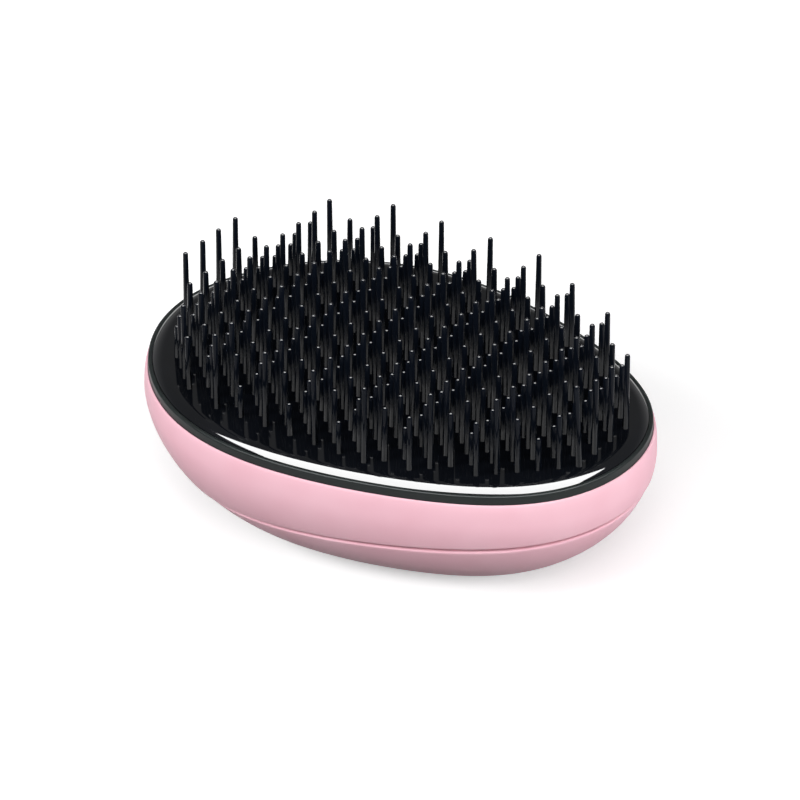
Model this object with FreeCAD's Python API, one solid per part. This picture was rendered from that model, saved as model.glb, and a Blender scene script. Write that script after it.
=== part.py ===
import FreeCAD, Part
import math
import os

# Palm detangling brush lying on its back: a pink two-part shell, a black rim ring,
# a raised black pad and rows of bristles that bend at their roots.
# Millimetres. Origin at the middle of the rest face, X along the brush, Y across it, Z up.

Vector = FreeCAD.Vector

# Egg-shaped plan: widest towards -X, with a blunt nose towards +X
rim_half_length = 56.9
rim_half_width = 42.6
egg_taper = 0.047
egg_swell = 0.023
egg_nose = 0.04

# Shell
rim_height = 30.2
shell_overhang = 0.9
lip_reach = 0.6
lip_rise = 4.5
crown_cut = 0.4
crown_shift = 2.5
crown_power = 1.78
side_power = 3.1

# Parting line between the side shell and the palm cap, tilted up towards +X
parting_height = 15.8
parting_tilt = 4.9
seam_gap = 0.25
cap_step = 0.3
cap_wall = 1.9
cap_edge_radius = 0.6
tongue_wall = 1.2
tongue_depth = 3.0
fit_gap = 0.1

# Rim ring
ring_width = 0.9
ring_rise = 1.9
ring_bevel = 0.35
ring_flange = 0.8
skirt_wall = 0.5

# Pad and its backing plate
backing_thickness = 1.5
pad_gap = 0.1
pad_rise = 3.0
shoulder_radius = 4.0
shoulder_turn = 43.0

# Bristles: the height goes tall, medium, short, medium from row to row along the brush
tall_height = 17.8
medium_height = 12.7
short_height = 7.6
root_radius = 0.75
tip_radius = 0.58
socket_gap = 0.2
row_pitch = 3.1
row_shift = 0.7
bristle_pitch = 5.9

# Edge of the bristle field, measured in from the rim
field_end_margin = 5.75
field_side_margin = 8.1
field_shift = 1.3
field_taper = 0.16
field_power = 2.2

# Fineness of the curved outlines
outline_points = 40
dome_sections = 12
lip_facets = 8
shoulder_facets = 8

# Levels and sizes that follow from the sizes above
lip_height = rim_height - lip_rise
backing_top = rim_height - ring_flange
ledge_height = backing_top - backing_thickness
floor_height = rim_height + pad_rise
pad_inset = ring_width + pad_gap
tongue_inset = cap_step + cap_wall + fit_gap
side_wall = tongue_inset + tongue_wall
field_half_length = rim_half_length - field_end_margin
field_half_width = rim_half_width - field_side_margin
clear_reach = 4 * rim_half_length


def egg_fullness(angle):
    """Share by which the plan is wider or narrower than an ellipse."""
    taper = egg_taper * math.cos(angle)
    swell = egg_swell * math.cos(2 * angle)
    nose = egg_nose * math.cos(3 * angle)
    return 1 - taper + swell + nose


def egg_wire(inset, height, share=1.0, shift=0.0):
    """Closed egg outline, set in from the rim's edge, then shrunk to a share and shifted along X."""
    half_length = (rim_half_length - inset) * share
    half_width = (rim_half_width - inset) * share
    points = []
    for step in range(outline_points):
        angle = 2 * math.pi * step / outline_points
        x = half_length * math.cos(angle) + shift
        y = half_width * math.sin(angle) * egg_fullness(angle)
        points.append(Vector(x, y, height))
    curve = Part.BSplineCurve()
    curve.interpolate(Points=points, PeriodicFlag=True)
    return Part.Wire(curve.toShape())


def egg_prism(inset, low, high):
    """Upright solid on the egg outline."""
    return Part.Face(egg_wire(inset, low)).extrude(Vector(0, 0, high - low))


def dome(wall):
    """Solid dome hanging from the lip, its skin a wall thickness inside the side shell's skin."""
    deepest = lip_height + cap_step - wall
    apex_depth = deepest + crown_cut
    last_angle = math.asin(deepest / apex_depth)
    sections = []
    for step in range(dome_sections):
        depth = apex_depth * math.sin(last_angle * step / (dome_sections - 1))
        part_way = depth / apex_depth
        share = (1 - part_way ** crown_power) ** (1 / side_power)
        height = lip_height - depth
        sections.append(egg_wire(wall - shell_overhang, height, share, crown_shift * part_way))
    return Part.makeLoft(sections, True, False)


def rounded_lip():
    """Solid top of the side shell, rolled in towards the rim in facets."""
    sections = []
    for step in range(lip_facets + 1):
        turn = math.pi / 2 * step / lip_facets
        inset = lip_reach * (1 - math.cos(turn)) - shell_overhang
        sections.append(egg_wire(inset, lip_height + lip_rise * math.sin(turn)))
    return Part.makeLoft(sections, True, True)


def below_parting(drop):
    """Large block whose top lies a drop below the tilted parting plane."""
    block = Part.makeBox(2 * clear_reach, 2 * clear_reach, clear_reach)
    block.translate(Vector(-clear_reach, -clear_reach, -clear_reach - drop))
    block.rotate(Vector(0, 0, 0), Vector(0, 1, 0), -parting_tilt)
    block.translate(Vector(0, 0, parting_height))
    return block


def top_edge(shape):
    """Outer edge of the highest face."""
    top_face = max(shape.Faces, key=lambda face: face.CenterOfMass.z)
    return max(top_face.Edges, key=lambda edge: edge.Length)


def make_side_shell():
    """Pink side wall with the ring's pocket, its ledge and the tongue that the cap slides over."""
    band = dome(0).cut(below_parting(0)).fuse(rounded_lip())
    tongue = dome(tongue_inset).cut(below_parting(tongue_depth)).common(below_parting(-tongue_depth))
    hollow = dome(side_wall).fuse(egg_prism(side_wall - shell_overhang, lip_height, ledge_height))
    pocket = egg_prism(-fit_gap, ledge_height, rim_height + ring_rise)
    return band.fuse(tongue).cut(hollow).cut(pocket)


def make_palm_cap():
    """Pink dome below the parting line, set in a step from the side shell."""
    cap = dome(cap_step).common(below_parting(seam_gap))
    cap = cap.makeFillet(cap_edge_radius, [top_edge(cap)])
    return cap.cut(dome(cap_step + cap_wall))


def make_rim_ring():
    """Black ring: a bevelled wall that stands up out of the shell, and a skirt that stands on the ledge."""
    crest = rim_height + ring_rise
    skirt = egg_prism(0, ledge_height, crest - ring_bevel)
    bevel = Part.makeLoft([egg_wire(0, crest - ring_bevel), egg_wire(ring_bevel, crest)], True, True)
    hole = egg_prism(ring_width, ledge_height, crest)
    recess = egg_prism(skirt_wall, ledge_height, backing_top)
    return skirt.fuse(bevel).cut(hole).cut(recess).removeSplitter()


def make_pad_backing():
    """Hidden plate under the pad, between the ring and the ledge."""
    return egg_prism(skirt_wall + fit_gap, ledge_height, backing_top)


def row_place(row):
    """Place of a row along the brush."""
    return row * row_pitch + row_shift


def row_height(row):
    """Bristle height of a row, counted from the tall row in the middle."""
    cycle = (tall_height, medium_height, short_height, medium_height)
    return cycle[row % len(cycle)]


def field_reach(x):
    """Half the width of the bristle field at a place along the brush."""
    along = (x - field_shift) / field_half_length
    rounding = (1 - abs(along) ** field_power) ** (1 / field_power)
    return field_half_width * rounding * (1 - field_taper * along)


def row_places(row):
    """Bristle roots of one row: every second row is staggered by half a pitch."""
    x = row_place(row)
    first = bristle_pitch / 2 if row % 2 == 0 else 0.0
    places = []
    y = first
    while y <= field_reach(x):
        places.append((x, y))
        if y > 0:
            places.append((x, -y))
        y += bristle_pitch
    return sorted(places)


def rounded_shoulder():
    """Solid top of the pad, its edge curving down to the ring in facets."""
    widest = shoulder_radius * math.sin(math.radians(shoulder_turn))
    sections = []
    for step in range(shoulder_facets + 1):
        turn = math.radians(shoulder_turn) * (1 - step / shoulder_facets)
        inset = pad_inset + widest - shoulder_radius * math.sin(turn)
        drop = shoulder_radius * (1 - math.cos(turn))
        sections.append(egg_wire(inset, floor_height - drop))
    return Part.makeLoft(sections, True, True)


def make_bristle_pad(places):
    """Black pad with a rounded shoulder and a round socket for each bristle root."""
    shoulder_drop = shoulder_radius * (1 - math.cos(math.radians(shoulder_turn)))
    side = egg_prism(pad_inset, backing_top, floor_height - shoulder_drop)
    pad = side.fuse(rounded_shoulder()).removeSplitter()
    socket_depth = root_radius + socket_gap
    sockets = []
    for x, y in places:
        base = Vector(x, y, floor_height - socket_depth)
        sockets.append(Part.makeCylinder(root_radius + socket_gap, 2 * socket_depth, base))
    return pad.cut(Part.makeCompound(sockets))


def make_bristle(height):
    """Tapered bristle with a round root centred on the pad's floor and a round tip."""
    tip_centre = height - tip_radius
    lean = math.asin((root_radius - tip_radius) / tip_centre)
    out = math.cos(lean)
    up = math.sin(lean)
    eighth_turn = math.pi / 4
    bottom = Vector(0, 0, -root_radius)
    root_side = Vector(root_radius * math.sin(eighth_turn), 0, -root_radius * math.cos(eighth_turn))
    flank_low = Vector(root_radius * out, 0, root_radius * up)
    flank_high = Vector(tip_radius * out, 0, tip_centre + tip_radius * up)
    tip_side = Vector(tip_radius * math.sin(eighth_turn), 0, tip_centre + tip_radius * math.cos(eighth_turn))
    peak = Vector(0, 0, height)
    edges = [
        Part.Arc(bottom, root_side, flank_low).toShape(),
        Part.LineSegment(flank_low, flank_high).toShape(),
        Part.Arc(flank_high, tip_side, peak).toShape(),
        Part.LineSegment(peak, bottom).toShape(),
    ]
    profile = Part.Face(Part.Wire(edges))
    return profile.revolve(Vector(0, 0, 0), Vector(0, 0, 1), 360)


def make_bristle_row(row):
    """Separate bristles of one row, standing in their sockets."""
    bristle = make_bristle(row_height(row))
    bristles = []
    for x, y in row_places(row):
        copy = bristle.copy()
        copy.translate(Vector(x, y, floor_height))
        bristles.append(copy)
    return Part.makeCompound(bristles)


rows_each_side = int((field_half_length - abs(field_shift - row_shift)) // row_pitch)
rows = range(-rows_each_side, rows_each_side + 1)
all_places = [place for row in rows for place in row_places(row)]

parts = {
    "side_shell": make_side_shell(),
    "palm_cap": make_palm_cap(),
    "rim_ring": make_rim_ring(),
    "pad_backing": make_pad_backing(),
    "bristle_pad": make_bristle_pad(all_places),
}
for number, row in enumerate(rows, start=1):
    parts["bristle_row_%02d" % number] = make_bristle_row(row)

os.makedirs("parts", exist_ok=True)
for name, shape in parts.items():
    shape.exportStep("parts/%s.step" % name)
    print(name, len(shape.Solids), "solids", round(shape.Volume, 1), "mm3", shape.isValid())
print("bristles", len(all_places))
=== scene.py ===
"""Looks of the palm detangling brush: pink shells, black ring and pad, and rows of bristles."""
import bmesh
import bpy
import math
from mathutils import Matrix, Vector


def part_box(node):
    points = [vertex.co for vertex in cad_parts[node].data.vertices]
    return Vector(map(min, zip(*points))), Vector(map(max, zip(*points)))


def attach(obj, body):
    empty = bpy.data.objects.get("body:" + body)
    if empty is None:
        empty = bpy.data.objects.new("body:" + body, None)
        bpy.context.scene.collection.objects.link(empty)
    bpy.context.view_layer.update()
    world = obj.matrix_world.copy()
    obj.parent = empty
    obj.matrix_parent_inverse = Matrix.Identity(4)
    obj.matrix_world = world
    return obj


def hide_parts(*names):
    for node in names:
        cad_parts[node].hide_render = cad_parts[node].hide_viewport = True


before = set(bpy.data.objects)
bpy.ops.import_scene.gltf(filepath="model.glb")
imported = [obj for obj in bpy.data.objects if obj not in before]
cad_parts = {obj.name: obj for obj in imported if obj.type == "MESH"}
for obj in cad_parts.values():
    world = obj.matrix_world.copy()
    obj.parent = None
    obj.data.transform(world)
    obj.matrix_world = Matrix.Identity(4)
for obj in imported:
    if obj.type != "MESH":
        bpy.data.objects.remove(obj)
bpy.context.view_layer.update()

# Sizes in metres, read from the frame where it has them
MM = 0.001
ring_low, ring_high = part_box("rim_ring")
pad_low, pad_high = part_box("bristle_pad")
rim_half_length = ring_high.x
rim_half_width = 42.6 * MM
egg_taper = 0.047
egg_swell = 0.023
egg_nose = 0.04
ledge_height = ring_low.z
ring_crest = ring_high.z
backing_top = pad_low.z
floor_height = pad_high.z
rim_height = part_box("side_shell")[1].z

# Shell form
shell_overhang = 0.9 * MM
lip_reach = 0.6 * MM
lip_rise = 4.5 * MM
lip_height = rim_height - lip_rise
crown_cut = 0.4 * MM
crown_shift = 2.5 * MM
crown_power = 1.78
side_power = 3.1
cap_step = 0.3 * MM
cap_wall = 1.9 * MM
cap_edge_radius = 0.6 * MM
cap_drop = 1.0 * MM
seam_edge_radius = 0.3 * MM
tongue_wall = 1.2 * MM
tongue_depth = 3.0 * MM
fit_gap = 0.1 * MM
tongue_inset = cap_step + cap_wall + fit_gap
side_wall = tongue_inset + tongue_wall
parting_height = 15.8 * MM
parting_tilt = math.radians(4.9)
parting_slope = math.tan(parting_tilt)

# Ring and pad form
ring_width = 0.9 * MM
ring_edge_radius = 0.35 * MM
ring_inner_radius = 0.1 * MM
skirt_wall = 0.5 * MM
pad_gap = 0.1 * MM
pad_inset = ring_width + pad_gap
shoulder_radius = 4.0 * MM
shoulder_turn = math.radians(43)

# Bristle form, with the one bristle at the narrow end that has taken a set
bristle_pitch = 5.9 * MM
root_radius = 0.75 * MM
tip_radius = 0.58 * MM
root_sink = 0.4 * MM
stray_lean = math.radians(0.5)
bent_row = 33
bent_place = 0
bent_turn = (math.radians(-6.0), math.radians(-7.0), 0.0)

# Fineness of the modelled skins and of one bristle
around = 200
dome_rings = 40
round_rings = 6
wall_rings = 5
crown_shares = (0.66, 0.33)
pad_floor_insets = (6 * MM, 16 * MM, 28 * MM)
seam_attempts = 8
sharp_angle = math.radians(40)
bristle_sides = 10
shaft_segments = 2
tip_segments = 3
shaft_gathering = 0.12

# Viewpoint: a long lens, as the nearly parallel rows in the photograph need
view_azimuth = math.radians(34.4)
view_elevation = math.radians(31.85)
view_distance = 1.24
view_aim = Vector((6.1 * MM, -9.1 * MM, floor_height + 0.4 * MM))
pixels_per_radian = 5960
image_width = 800
sensor_width = 36.0
nearest_seen = 0.05

# Stage
floor_reach = 3.0
floor_bounce = 0.05
floor_tone = 1.0
floor_glow = 0.28
card_strength = 12.0
card_height = 1.1
card_back = -0.35
card_front = 0.58
card_half_width = 0.9
low_sky_rise = 0.1
low_sky_tone = 0.5
high_sky_rise = 0.5
high_sky_tone = 0.2
sky_strength = 0.5
softboxes = {
    "overhead_softbox": {"place": (0.1, -0.1, 1.1), "width": 1.0, "depth": 0.7, "watts": 2.5},
    "left_softbox": {"place": (-0.62, -1.04, 0.75), "width": 1.0, "depth": 0.5, "watts": 16},
    "right_softbox": {"place": (1.19, 0.21, 0.34), "width": 1.0, "depth": 0.5, "watts": 13},
    "front_softbox": {"place": (0.68, -0.99, 0.9), "width": 1.0, "depth": 0.5, "watts": 9},
}

# Widths of the plastics' slow colour drift and of their uneven polish
drift_width = 14 * MM
polish_width = 3 * MM
noise_low = 0.3
noise_high = 0.7
grain_strength = 0.3

# Bristle tips: the shine grows with the rise of the round tip, kept as an attribute of the mesh
tip_attribute = "tip_rise"
shine_start = 0.4
shine_full = 0.8
shaft_shine = 0.5
tip_shine = 2.5


def linear(hex_colour):
    """Linear RGBA of an sRGB hex colour."""
    channels = []
    for start in (1, 3, 5):
        value = int(hex_colour[start:start + 2], 16) / 255
        channels.append(value / 12.92 if value <= 0.04045 else ((value + 0.055) / 1.055) ** 2.4)
    return (*channels, 1.0)


def add(tree, kind, inputs=None, **settings):
    """New node with its settings, its input values and the links that come into it."""
    node = tree.nodes.new(kind)
    for name, value in settings.items():
        setattr(node, name, value)
    for key, value in (inputs or {}).items():
        if isinstance(value, bpy.types.NodeSocket):
            tree.links.new(value, node.inputs[key])
        else:
            node.inputs[key].default_value = value
    return node


# Materials


def blank_material(name):
    """Empty node material with its tree and its output node."""
    material = bpy.data.materials.new(name)
    material.use_nodes = True
    tree = material.node_tree
    tree.nodes.clear()
    return material, tree, add(tree, "ShaderNodeOutputMaterial")


def moulded_plastic(name, dark, light, rough_low, rough_high, grain, grain_depth, settings):
    """Moulded plastic: faint colour drift, uneven polish and the mould's grain, drawn coarser than it is."""
    material, tree, output = blank_material(name)
    place = add(tree, "ShaderNodeTexCoord").outputs["Object"]
    drift = add(tree, "ShaderNodeTexNoise", {"Vector": place, "Scale": 1 / drift_width, "Detail": 2.0})
    ramp = add(tree, "ShaderNodeValToRGB", {"Fac": drift.outputs["Fac"]})
    ramp.color_ramp.elements[0].position = noise_low
    ramp.color_ramp.elements[0].color = linear(dark)
    ramp.color_ramp.elements[1].position = noise_high
    ramp.color_ramp.elements[1].color = linear(light)
    polish = add(tree, "ShaderNodeTexNoise", {"Vector": place, "Scale": 1 / polish_width, "Detail": 3.0})
    rough = add(tree, "ShaderNodeMapRange", {"Value": polish.outputs["Fac"],
                                             "From Min": noise_low, "From Max": noise_high,
                                             "To Min": rough_low, "To Max": rough_high})
    speck = add(tree, "ShaderNodeTexNoise", {"Vector": place, "Scale": 1 / grain, "Detail": 1.0})
    bump = add(tree, "ShaderNodeBump", {"Height": speck.outputs["Fac"], "Strength": grain_strength,
                                        "Distance": grain_depth})
    surface = add(tree, "ShaderNodeBsdfPrincipled", {
        "Base Color": ramp.outputs["Color"],
        "Roughness": rough.outputs["Result"],
        "Normal": bump.outputs["Normal"],
        **settings,
    })
    tree.links.new(surface.outputs["BSDF"], output.inputs["Surface"])
    return material


def buff_tips(material):
    """More shine on the round tips, as hair buffs them."""
    tree = material.node_tree
    rise = add(tree, "ShaderNodeAttribute", attribute_name=tip_attribute).outputs["Fac"]
    shine = add(tree, "ShaderNodeMapRange", {"Value": rise, "From Min": shine_start, "From Max": shine_full,
                                             "To Min": shaft_shine, "To Max": tip_shine})
    surface = tree.nodes["Principled BSDF"]
    tree.links.new(shine.outputs["Result"], surface.inputs["Specular IOR Level"])


# Injection-moulded satin ABS: a soft broad sheen over an even pink
pink_abs = moulded_plastic("moulded_satin_pink_abs", "#EDB9C6", "#F2C3CF", 0.38, 0.46, 0.5 * MM, 0.01 * MM,
                           {"IOR": 1.12})
# Injection-moulded satin ABS: a grey, slightly green black that shows no sharp image
ring_abs = moulded_plastic("moulded_satin_black_abs", "#1A1E1E", "#202525", 0.28, 0.36, 0.5 * MM, 0.01 * MM,
                           {"IOR": 1.3})
# Elastomer from a polished mould: a deep blue black that mirrors the bristles
pad_elastomer = moulded_plastic("moulded_polished_black_elastomer", "#0A0C10", "#0E1015", 0.05, 0.08,
                                0.8 * MM, 0.002 * MM,
                                {"IOR": 1.55, "Coat Weight": 0.8, "Coat Roughness": 0.03})
# Nylon from a polished mould: near black with a narrow lengthwise sheen and a bright dot on the buffed tip
bristle_nylon = moulded_plastic("moulded_black_nylon", "#0A0E15", "#0D1119", 0.05, 0.08,
                                0.4 * MM, 0.002 * MM, {"IOR": 1.2})
buff_tips(bristle_nylon)
# Plain moulded polypropylene, hidden inside
backing_polypropylene = moulded_plastic("moulded_black_polypropylene", "#16181A", "#1D2022", 0.45, 0.55,
                                        0.6 * MM, 0.01 * MM, {"IOR": 1.49})


# Modelled skins: rings of points on egg outlines, joined in order


def turns(count, first=0):
    """Even steps of a quarter turn."""
    return [math.pi / 2 * part / count for part in range(first, count + 1)]


def egg_place(angle, inset, share=1.0, shift=0.0):
    """Place in plan on an egg outline set in from the rim's edge."""
    fullness = (1 - egg_taper * math.cos(angle) + egg_swell * math.cos(2 * angle)
                + egg_nose * math.cos(3 * angle))
    x = (rim_half_length - inset) * share * math.cos(angle) + shift
    y = (rim_half_width - inset) * share * math.sin(angle) * fullness
    return x, y


def level_ring(inset, height):
    """Ring of points at one height."""
    ring = []
    for step in range(around):
        x, y = egg_place(2 * math.pi * step / around, inset)
        ring.append((x, y, height))
    return ring


def dome_place(angle, wall, height):
    """Point on the shell's dome at a height, a wall thickness inside the side shell's skin."""
    apex_depth = lip_height + cap_step - wall + crown_cut
    part_way = min(max((lip_height - height) / apex_depth, 0.0), 1.0)
    share = (1 - part_way ** crown_power) ** (1 / side_power)
    x, y = egg_place(angle, wall - shell_overhang, share, crown_shift * part_way)
    return x, y, height


def seam_height(angle, wall, drop):
    """Height at which the dome meets the tilted parting plane, less a drop."""
    height = parting_height - drop
    for _ in range(seam_attempts):
        x = dome_place(angle, wall, height)[0]
        height = parting_height - drop + parting_slope * x
    return height


def seam_ring(wall, drop):
    """Ring of points on the dome along the parting plane."""
    return dome_rings_to(wall, drop, 0.0, (0.0,))[0]


def dome_rings_to(wall, drop, level, shares):
    """Rings on the dome, at shares of the way from the parting plane to a level."""
    rings = []
    for share in shares:
        ring = []
        for step in range(around):
            angle = 2 * math.pi * step / around
            start = seam_height(angle, wall, drop)
            ring.append(dome_place(angle, wall, start + (level - start) * share))
        rings.append(ring)
    return rings


def crown_rings(ring):
    """Rings that close in on the middle of the flat crown."""
    return [[(crown_shift + (x - crown_shift) * share, y * share, z) for x, y, z in ring]
            for share in crown_shares]


def skin(name, rings, closed, material, node):
    """Closed mesh through rings of points, either joined into a loop or capped at both ends."""
    vertices = [point for ring in rings for point in ring]
    faces = []
    last = len(rings) if closed else len(rings) - 1
    for row in range(last):
        above = (row + 1) % len(rings)
        for step in range(around):
            next_step = (step + 1) % around
            faces.append((row * around + step, row * around + next_step,
                          above * around + next_step, above * around + step))
    if not closed:
        for row in (0, len(rings) - 1):
            ring = rings[row]
            vertices.append([sum(point[axis] for point in ring) / around for axis in range(3)])
            for step in range(around):
                next_step = (step + 1) % around
                faces.append((row * around + step, row * around + next_step, len(vertices) - 1))
    mesh = bpy.data.meshes.new(name)
    mesh.from_pydata(vertices, [], faces)
    finish_mesh(mesh)
    place_piece(name, mesh, material, "handle", node)


def finish_mesh(mesh):
    """Faces turned outwards and shaded smooth, with hard edges kept."""
    work = bmesh.new()
    work.from_mesh(mesh)
    bmesh.ops.recalc_face_normals(work, faces=work.faces)
    work.to_mesh(mesh)
    work.free()
    mesh.shade_smooth()
    mesh.set_sharp_from_angle(angle=sharp_angle)


def place_piece(name, mesh, material, body, node):
    """Object for a finished mesh, riding on a body in place of a node."""
    mesh.materials.clear()
    mesh.materials.append(material)
    piece = bpy.data.objects.new(name, mesh)
    bpy.context.scene.collection.objects.link(piece)
    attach(piece, body)
    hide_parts(node)


def make_side_shell():
    """Pink wall from the seam up to the rolled lip, then down inside past the ledge to the tongue."""
    rings = []
    for turn in turns(round_rings)[:-1]:
        inset = seam_edge_radius * (1 - math.sin(turn))
        rings.append(seam_ring(inset, -seam_edge_radius * (1 - math.cos(turn))))
    shares = [part / (dome_rings - 1) for part in range(dome_rings)]
    rings += dome_rings_to(0.0, -seam_edge_radius, lip_height, shares)
    for turn in turns(2 * round_rings, 1):
        inset = lip_reach * (1 - math.cos(turn)) - shell_overhang
        rings.append(level_ring(inset, lip_height + lip_rise * math.sin(turn)))
    rings.append(level_ring(-fit_gap, rim_height))
    rings.append(level_ring(-fit_gap, ledge_height))
    wall_shares = [1 - part / wall_rings for part in range(wall_rings + 1)]
    rings += dome_rings_to(side_wall, tongue_depth, ledge_height, wall_shares)
    rings.append(seam_ring(tongue_inset, tongue_depth))
    rings.append(seam_ring(tongue_inset, 0.0))
    skin("side_shell_skin", rings, True, pink_abs, "side_shell")


def make_palm_cap():
    """Pink dome from the crown up to its rounded upper edge, and back down inside."""
    shares = [math.sin(turn) for turn in turns(dome_rings, 1)]
    outside = [seam_ring(cap_step + cap_wall, cap_drop)]
    for turn in turns(round_rings):
        inset = cap_step + cap_edge_radius * (1 - math.sin(turn))
        outside.append(seam_ring(inset, cap_drop + cap_edge_radius * (1 - math.cos(turn))))
    outside += dome_rings_to(cap_step, cap_drop + cap_edge_radius, 0.0, shares)
    outside += crown_rings(outside[-1])
    inside = dome_rings_to(cap_step + cap_wall, cap_drop, cap_wall, shares)
    inside += crown_rings(inside[-1])
    skin("palm_cap_skin", outside[::-1] + inside, False, pink_abs, "palm_cap")


def make_rim_ring():
    """Black ring: an upright wall with a rounded crest, on a thinner skirt."""
    rings = [level_ring(0.0, ledge_height)]
    for turn in turns(round_rings):
        rings.append(level_ring(ring_edge_radius * (1 - math.cos(turn)),
                                ring_crest - ring_edge_radius * (1 - math.sin(turn))))
    for turn in turns(round_rings):
        rings.append(level_ring(ring_width - ring_inner_radius * (1 - math.sin(turn)),
                                ring_crest - ring_inner_radius * (1 - math.cos(turn))))
    rings.append(level_ring(ring_width, backing_top))
    rings.append(level_ring(skirt_wall, backing_top))
    rings.append(level_ring(skirt_wall, ledge_height))
    skin("rim_ring_skin", rings, True, ring_abs, "rim_ring")


def make_pad():
    """Black pad: low straight side, wide round shoulder and flat floor."""
    widest = shoulder_radius * math.sin(shoulder_turn)
    rings = [level_ring(pad_inset, backing_top)]
    for part in range(2 * round_rings + 1):
        turn = shoulder_turn * (1 - part / (2 * round_rings))
        inset = pad_inset + widest - shoulder_radius * math.sin(turn)
        rings.append(level_ring(inset, floor_height - shoulder_radius * (1 - math.cos(turn))))
    for inwards in pad_floor_insets:
        rings.append(level_ring(pad_inset + widest + inwards, floor_height))
    skin("bristle_pad_skin", rings, False, pad_elastomer, "bristle_pad")


# Bristles


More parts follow.
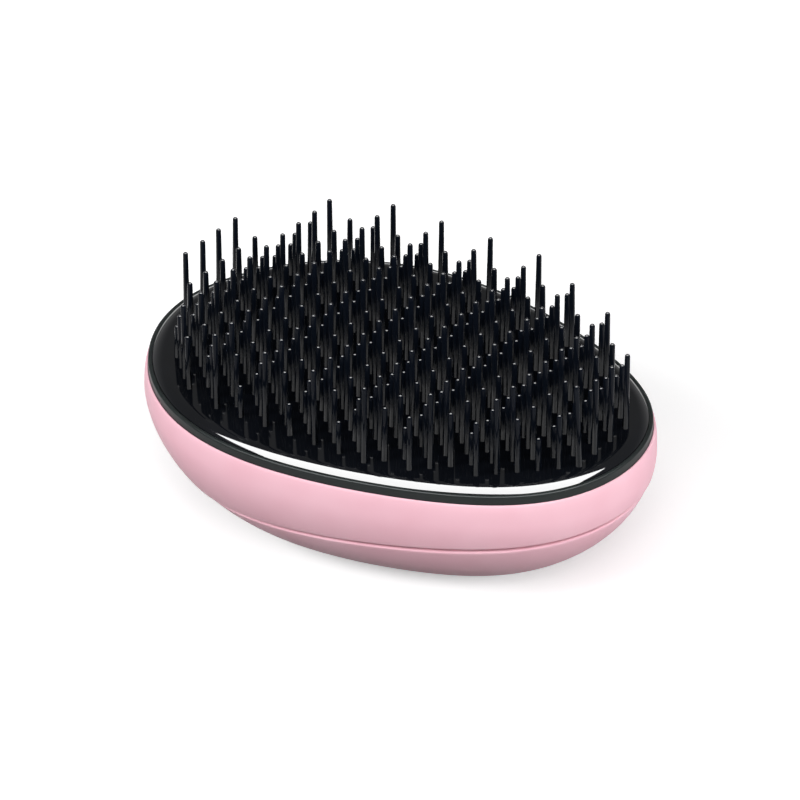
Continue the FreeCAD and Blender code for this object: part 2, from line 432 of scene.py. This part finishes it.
def bristle_tree():
    """Node tree that sets one row of tapered round-tipped bristles along Y."""
    tree = bpy.data.node_groups.new("bristle_row", "GeometryNodeTree")
    tree.interface.new_socket("Geometry", in_out="OUTPUT", socket_type="NodeSocketGeometry")
    sockets = {}
    for name, kind in (("Count", "Int"), ("Pitch", "Float"), ("Start", "Vector"), ("Height", "Float"),
                       ("Root Radius", "Float"), ("Tip Radius", "Float"), ("Root Sink", "Float"),
                       ("Lean", "Float"), ("Seed", "Int"), ("Bent", "Int"), ("Bend", "Vector"),
                       ("Material", "Material")):
        socket = tree.interface.new_socket(name, in_out="INPUT", socket_type="NodeSocket" + kind)
        sockets[name] = socket.identifier
    given = add(tree, "NodeGroupInput").outputs
    math_node = "ShaderNodeMath"

    # A cone's rings become the shaft, with one ring close below the tip, and the round tip
    segments = shaft_segments + tip_segments
    cone = add(tree, "GeometryNodeMeshCone", {"Vertices": bristle_sides, "Side Segments": segments,
                                              "Radius Top": 0.0, "Radius Bottom": 1.0,
                                              "Depth": float(segments)})
    position = add(tree, "GeometryNodeInputPosition").outputs["Position"]
    parts = add(tree, "ShaderNodeSeparateXYZ", {"Vector": position}).outputs
    ring = parts["Z"]
    along = add(tree, "ShaderNodeMapRange", {"Value": ring, "From Max": float(shaft_segments)})
    shaft = add(tree, math_node, {0: along.outputs["Result"], 1: shaft_gathering},
                operation="POWER").outputs[0]
    tip_turn = add(tree, "ShaderNodeMapRange", {"Value": ring, "From Min": float(shaft_segments),
                                                "From Max": float(segments), "To Max": math.pi / 2})
    turn = tip_turn.outputs["Result"]
    tip_centre = add(tree, math_node, {0: given["Height"], 1: given["Tip Radius"]},
                     operation="SUBTRACT").outputs[0]
    low = add(tree, math_node, {0: given["Root Sink"], 1: -1.0}, operation="MULTIPLY").outputs[0]
    shaft_height = add(tree, "ShaderNodeMapRange", {"Value": shaft, "To Min": low, "To Max": tip_centre})
    rise = add(tree, math_node, {0: turn}, operation="SINE").outputs[0]
    height = add(tree, math_node, {0: rise, 1: given["Tip Radius"], 2: shaft_height.outputs["Result"]},
                 operation="MULTIPLY_ADD").outputs[0]
    taper = add(tree, "ShaderNodeMapRange", {"Value": shaft, "To Min": given["Root Radius"],
                                             "To Max": given["Tip Radius"]}).outputs["Result"]
    closing = add(tree, math_node, {0: turn}, operation="COSINE").outputs[0]
    radius = add(tree, math_node, {0: taper, 1: closing}, operation="MULTIPLY").outputs[0]
    flat = add(tree, "ShaderNodeCombineXYZ", {"X": parts["X"], "Y": parts["Y"]}).outputs["Vector"]
    outwards = add(tree, "ShaderNodeVectorMath", {0: flat}, operation="NORMALIZE").outputs["Vector"]
    spread = add(tree, "ShaderNodeVectorMath", {0: outwards, "Scale": radius},
                 operation="SCALE").outputs["Vector"]
    raised = add(tree, "ShaderNodeCombineXYZ", {"Z": height}).outputs["Vector"]
    shaped = add(tree, "ShaderNodeVectorMath", {0: spread, 1: raised}, operation="ADD").outputs["Vector"]
    marked = add(tree, "GeometryNodeStoreNamedAttribute", {"Geometry": cone.outputs["Mesh"],
                                                           "Name": tip_attribute, "Value": rise})
    bristle = add(tree, "GeometryNodeSetPosition", {"Geometry": marked.outputs["Geometry"],
                                                    "Position": shaped})
    rounded = add(tree, "GeometryNodeSetShadeSmooth", {"Geometry": bristle.outputs["Geometry"]})
    smooth = add(tree, "GeometryNodeSetShadeSmooth", {"Geometry": rounded.outputs["Geometry"],
                                                      "Selection": cone.outputs["Bottom"],
                                                      "Shade Smooth": False})

    # One bristle on each point of a line, each leaning a little its own way
    step = add(tree, "ShaderNodeCombineXYZ", {"Y": given["Pitch"]}).outputs["Vector"]
    line = add(tree, "GeometryNodeMeshLine", {"Count": given["Count"], "Start Location": given["Start"],
                                              "Offset": step})
    negative = add(tree, math_node, {0: given["Lean"], 1: -1.0}, operation="MULTIPLY").outputs[0]
    lean_low = add(tree, "ShaderNodeCombineXYZ", {"X": negative, "Y": negative,
                                                  "Z": -math.pi}).outputs["Vector"]
    lean_high = add(tree, "ShaderNodeCombineXYZ", {"X": given["Lean"], "Y": given["Lean"],
                                                   "Z": math.pi}).outputs["Vector"]
    lean = add(tree, "FunctionNodeRandomValue", data_type="FLOAT_VECTOR")
    tree.links.new(lean_low, lean.inputs["Min"])
    tree.links.new(lean_high, lean.inputs["Max"])
    tree.links.new(given["Seed"], lean.inputs["Seed"])
    index = add(tree, "GeometryNodeInputIndex").outputs["Index"]
    is_bent = add(tree, "FunctionNodeCompare", data_type="INT", operation="EQUAL")
    tree.links.new(index, is_bent.inputs[2])
    tree.links.new(given["Bent"], is_bent.inputs[3])
    leaning = add(tree, "GeometryNodeSwitch", {"Switch": is_bent.outputs["Result"],
                                               "False": lean.outputs["Value"],
                                               "True": given["Bend"]}, input_type="VECTOR")
    row = add(tree, "GeometryNodeInstanceOnPoints", {"Points": line.outputs["Mesh"],
                                                     "Instance": smooth.outputs["Geometry"],
                                                     "Rotation": leaning.outputs["Output"]})
    real = add(tree, "GeometryNodeRealizeInstances", {"Geometry": row.outputs["Instances"]})
    painted = add(tree, "GeometryNodeSetMaterial", {"Geometry": real.outputs["Geometry"],
                                                    "Material": given["Material"]})
    add(tree, "NodeGroupOutput", {"Geometry": painted.outputs["Geometry"]})
    return tree, sockets


def make_bristle_row(tree, sockets, number):
    """One row of bristles as a plain mesh, sized from its node in the frame."""
    node = "bristle_row_%02d" % number
    low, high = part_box(node)
    half_span = high.y - root_radius
    maker = bpy.data.objects.new(node + "_maker", bpy.data.meshes.new(node + "_maker"))
    bpy.context.scene.collection.objects.link(maker)
    modifier = maker.modifiers.new("bristles", "NODES")
    modifier.node_group = tree
    values = {
        "Count": round(2 * half_span / bristle_pitch) + 1,
        "Pitch": bristle_pitch,
        "Start": ((low.x + high.x) / 2, -half_span, floor_height),
        "Height": high.z - floor_height,
        "Root Radius": root_radius,
        "Tip Radius": tip_radius,
        "Root Sink": root_sink,
        "Lean": stray_lean,
        "Seed": number,
        "Bent": bent_place if number == bent_row else -1,
        "Bend": bent_turn,
        "Material": bristle_nylon,
    }
    for name, value in values.items():
        modifier[sockets[name]] = value
    depsgraph = bpy.context.evaluated_depsgraph_get()
    mesh = bpy.data.meshes.new_from_object(maker.evaluated_get(depsgraph))
    mesh.name = node + "_bristles"
    bpy.data.objects.remove(maker)
    place_piece(node + "_bristles", mesh, bristle_nylon, "row_%02d" % number, node)


# Stage


def make_floor():
    """Pale floor that stays white to the eye and keeps the shadow."""
    mesh = bpy.data.meshes.new("floor")
    corners = [(x * floor_reach, y * floor_reach, 0.0) for x, y in ((-1, -1), (1, -1), (1, 1), (-1, 1))]
    mesh.from_pydata(corners, [], [(0, 1, 2, 3)])
    material, tree, output = blank_material("pale_floor")
    light_path = add(tree, "ShaderNodeLightPath").outputs
    seen = add(tree, "ShaderNodeMath", {0: light_path["Is Camera Ray"], 1: light_path["Is Glossy Ray"]},
               operation="MAXIMUM").outputs[0]
    tone = add(tree, "ShaderNodeMapRange", {"Value": seen, "To Min": floor_bounce, "To Max": floor_tone})
    paper = add(tree, "ShaderNodeBsdfDiffuse", {"Color": tone.outputs["Result"]})
    glow_strength = add(tree, "ShaderNodeMath", {0: light_path["Is Camera Ray"], 1: floor_glow},
                        operation="MULTIPLY").outputs[0]
    glow = add(tree, "ShaderNodeEmission", {"Strength": glow_strength})
    both = add(tree, "ShaderNodeAddShader", {0: paper.outputs["BSDF"], 1: glow.outputs["Emission"]})
    tree.links.new(both.outputs["Shader"], output.inputs["Surface"])
    mesh.materials.append(material)
    floor = bpy.data.objects.new("floor", mesh)
    bpy.context.scene.collection.objects.link(floor)


def make_world():
    """Soft room light, bright near the horizon and dimmer above, on a white backdrop."""
    world = bpy.data.worlds.new("studio")
    world.use_nodes = True
    tree = world.node_tree
    tree.nodes.clear()
    direction = add(tree, "ShaderNodeTexCoord").outputs["Generated"]
    up = add(tree, "ShaderNodeSeparateXYZ", {"Vector": direction}).outputs["Z"]
    ramp = add(tree, "ShaderNodeValToRGB", {"Fac": up})
    ramp.color_ramp.elements[0].position = low_sky_rise
    ramp.color_ramp.elements[0].color = (low_sky_tone, low_sky_tone, low_sky_tone, 1.0)
    ramp.color_ramp.elements[1].position = high_sky_rise
    ramp.color_ramp.elements[1].color = (high_sky_tone, high_sky_tone, high_sky_tone, 1.0)
    sky = add(tree, "ShaderNodeBackground", {"Color": ramp.outputs["Color"], "Strength": sky_strength})
    white = add(tree, "ShaderNodeBackground", {"Strength": 1.0})
    seen = add(tree, "ShaderNodeLightPath").outputs["Is Camera Ray"]
    mixed = add(tree, "ShaderNodeMixShader", {0: seen, 1: sky.outputs["Background"],
                                              2: white.outputs["Background"]})
    add(tree, "ShaderNodeOutputWorld", {"Surface": mixed.outputs["Shader"]})
    bpy.context.scene.world = world


def make_softbox(name, place, width, depth, watts):
    """Area lamp that looks at the brush and does not show in its gloss."""
    lamp = bpy.data.lights.new(name, "AREA")
    lamp.shape = "RECTANGLE"
    lamp.size = width
    lamp.size_y = depth
    lamp.energy = watts
    holder = bpy.data.objects.new(name, lamp)
    holder.location = place
    aim = Vector((0.0, 0.0, rim_height))
    holder.rotation_euler = (aim - Vector(place)).to_track_quat("-Z", "Y").to_euler()
    holder.visible_glossy = False
    bpy.context.scene.collection.objects.link(holder)


def make_reflection_card():
    """Bright card overhead that only gloss sees: the white line along the pad and the dots on the tips."""
    side = Vector((math.cos(view_azimuth), math.sin(view_azimuth), 0.0))
    front = Vector((math.sin(view_azimuth), -math.cos(view_azimuth), 0.0))
    rise = Vector((0.0, 0.0, card_height))
    edges = ((card_back, -card_half_width), (card_back, card_half_width),
             (card_front, card_half_width), (card_front, -card_half_width))
    corners = [front * out + rise + side * across for out, across in edges]
    mesh = bpy.data.meshes.new("reflection_card")
    mesh.from_pydata(corners, [], [(0, 1, 2, 3)])
    material, tree, output = blank_material("reflection_card")
    glow = add(tree, "ShaderNodeEmission", {"Strength": card_strength})
    tree.links.new(glow.outputs["Emission"], output.inputs["Surface"])
    mesh.materials.append(material)
    card = bpy.data.objects.new("reflection_card", mesh)
    bpy.context.scene.collection.objects.link(card)
    card.visible_camera = False
    card.visible_diffuse = False
    card.visible_shadow = False


def make_camera():
    """Camera at the photograph's viewpoint."""
    away = Vector((math.sin(view_azimuth) * math.cos(view_elevation),
                   -math.cos(view_azimuth) * math.cos(view_elevation),
                   math.sin(view_elevation)))
    data = bpy.data.cameras.new("camera")
    data.sensor_width = sensor_width
    data.lens = sensor_width * pixels_per_radian / image_width
    data.clip_start = nearest_seen
    camera = bpy.data.objects.new("camera", data)
    camera.location = view_aim + away * view_distance
    camera.rotation_euler = away.to_track_quat("Z", "Y").to_euler()
    bpy.context.scene.collection.objects.link(camera)
    bpy.context.scene.camera = camera


make_side_shell()
make_palm_cap()
make_rim_ring()
make_pad()
row_tree, row_sockets = bristle_tree()
row_count = sum(1 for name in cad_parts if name.startswith("bristle_row_"))
for number in range(1, row_count + 1):
    make_bristle_row(row_tree, row_sockets, number)
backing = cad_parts["pad_backing"]
backing.data.materials.clear()
backing.data.materials.append(backing_polypropylene)

make_floor()
make_world()
for name, softbox in softboxes.items():
    make_softbox(name, **softbox)
make_reflection_card()
make_camera()
bpy.context.scene.view_settings.view_transform = "Standard"
